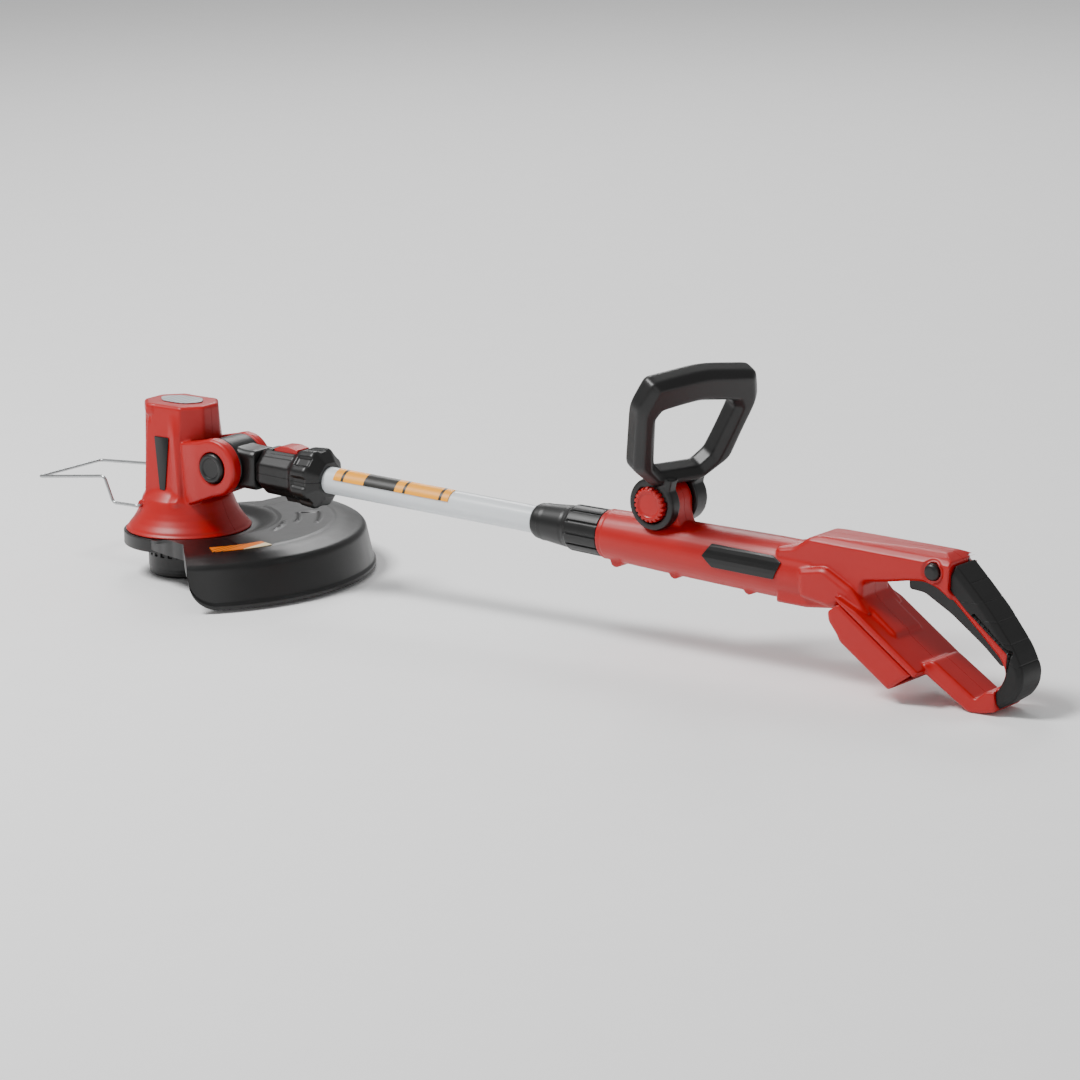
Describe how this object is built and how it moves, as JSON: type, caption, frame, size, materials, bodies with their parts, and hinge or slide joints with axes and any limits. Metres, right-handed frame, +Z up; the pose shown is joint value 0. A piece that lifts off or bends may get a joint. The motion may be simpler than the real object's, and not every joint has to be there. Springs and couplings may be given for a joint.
{
  "type": "string trimmer",
  "caption": "Cordless string trimmer with a tilting motor head, wire and skirt guards, telescopic tube, turnable front loop handle and battery rear handle.",
  "frame": {"origin": "on the ground, on the spool's axis, at the flat foot of the bump button", "axes": "+X runs from the cutting head back towards the user's hand, +Z is up, and -Y is the user's left, where the pivot button, knob and lock-off button are"},
  "size_m": [0.9883, 0.275, 0.242],
  "materials": {
    "red_abs": "moulded ABS, semi-gloss red",
    "black_plastic": "moulded glass-filled nylon, fine texture",
    "soft_grip": "moulded elastomer with grooves",
    "grey_plastic": "moulded acetal",
    "steel": "zinc-plated steel",
    "tube": "satin powder-coated aluminium tube",
    "line": "extruded nylon line",
    "lead": "sheathed twin cable",
    "board": "solder-masked circuit board",
    "label_silver": "printed film, plain",
    "label_yellow": "printed film, plain",
    "label_amber": "printed film, plain"
  },
  "bodies": {
    "rear_handle": {"handle_housing_left": "red_abs", "handle_housing_right": "red_abs", "lower_shell": "red_abs", "rear_grip": "soft_grip", "trigger_pin": "steel", "trigger_spring": "steel", "switch_module": "black_plastic", "control_board": "board", "battery_terminal": "black_plastic", "handle_plate": "black_plastic", "handle_screw_1": "steel", "handle_screw_2": "steel", "handle_screw_3": "steel", "handle_screw_4": "steel", "collet": "grey_plastic"},
    "clamp_nut": {"clamp_nut": "black_plastic"},
    "trigger": {"trigger": "black_plastic"},
    "lock_off_button": {"lock_off_button": "black_plastic"},
    "front_handle": {"front_handle": "black_plastic", "handle_bolt": "steel"},
    "handle_knob": {"handle_knob": "red_abs"},
    "tube": {"shaft_tube": "tube", "tube_label": "label_yellow", "motor_lead": "lead", "collar_upper": "black_plastic", "collar_lower": "black_plastic", "collar_screw_1": "steel", "collar_screw_2": "steel", "collar_spring": "steel"},
    "collar_button": {"collar_button": "red_abs"},
    "knuckle": {"pivot_knuckle": "black_plastic"},
    "head": {"head_housing_left": "red_abs", "head_housing_right": "red_abs", "motor_mount": "steel", "motor_can": "steel", "head_name_plate": "black_plastic", "head_top_label": "label_silver", "pivot_bolt": "steel", "pivot_cap": "black_plastic", "pivot_spring": "steel", "guard": "black_plastic", "guard_label": "label_amber", "guard_screw_1": "steel", "guard_screw_2": "steel", "guard_screw_3": "steel", "cutter_blade": "steel", "cutter_screw_1": "steel", "cutter_screw_2": "steel"},
    "pivot_button": {"pivot_button": "black_plastic"},
    "wire_guard": {"wire_guard": "steel"},
    "spool": {"drive_hub": "black_plastic", "spool_cap": "black_plastic", "eyelet_front": "steel", "eyelet_back": "steel", "motor_shaft": "steel", "feed_spring": "steel"},
    "bump": {"bump_button": "black_plastic", "line_spool": "black_plastic", "line_pack": "line"}
  },
  "joints": [
    {"name": "tube_slide", "type": "slide", "parent": "rear_handle", "child": "tube", "axis": [-0.9996, 0, 0.0284], "range_m": [0, 0.15]},
    {"name": "clamp_nut_turn", "type": "hinge", "parent": "rear_handle", "child": "clamp_nut", "pos_m": [0.41525, 0, 0.09146], "axis": [0.9996, 0, -0.0284], "range_deg": [0, 90]},
    {"name": "trigger_squeeze", "type": "hinge", "parent": "rear_handle", "child": "trigger", "pos_m": [0.75256, 0, 0.09737], "axis": [0, -1, 0], "range_deg": [0, 3.5], "stiffness_Nm_per_rad": 3, "springref_deg": -2.86},
    {"name": "lock_off_press", "type": "slide", "parent": "rear_handle", "child": "lock_off_button", "axis": [0, 1, 0], "range_m": [0, 0.003], "stiffness_N_per_m": 800, "springref_m": -0.002},
    {"name": "front_handle_tilt", "type": "hinge", "parent": "rear_handle", "child": "front_handle", "pos_m": [0.50907, 0, 0.12581], "axis": [0, 1, 0], "range_deg": [-35, 30]},
    {"name": "handle_knob_turn", "type": "hinge", "parent": "front_handle", "child": "handle_knob", "pos_m": [0.50907, 0, 0.12581], "axis": [0, 1, 0], "continuous": true},
    {"name": "collar_button_press", "type": "slide", "parent": "tube", "child": "collar_button", "axis": [-0.0284, 0, -0.9996], "range_m": [0, 0.002], "stiffness_N_per_m": 800, "springref_m": -0.002},
    {"name": "collar_turn", "type": "hinge", "parent": "tube", "child": "knuckle", "pos_m": [0.10338, 0, 0.10033], "axis": [0.9996, 0, -0.0284], "range_deg": [0, 180]},
    {"name": "head_tilt", "type": "hinge", "parent": "knuckle", "child": "head", "pos_m": [0.0554, 0, 0.1017], "axis": [0, 1, 0], "range_deg": [0, 60]},
    {"name": "pivot_button_press", "type": "slide", "parent": "head", "child": "pivot_button", "axis": [0, 1, 0], "range_m": [0, 0.004], "stiffness_N_per_m": 900, "springref_m": -0.002},
    {"name": "wire_guard_fold", "type": "hinge", "parent": "head", "child": "wire_guard", "pos_m": [-0.022, 0, 0.061], "axis": [0, 1, 0], "range_deg": [0, 85]},
    {"name": "spool_spin", "type": "hinge", "parent": "head", "child": "spool", "pos_m": [0, 0, 0.05], "axis": [0, 0, 1], "continuous": true},
    {"name": "bump_press", "type": "slide", "parent": "spool", "child": "bump", "axis": [0, 0, 1], "range_m": [0, 0.004], "stiffness_N_per_m": 1200, "springref_m": -0.002, "deforming": ["feed_spring"]}
  ]
}
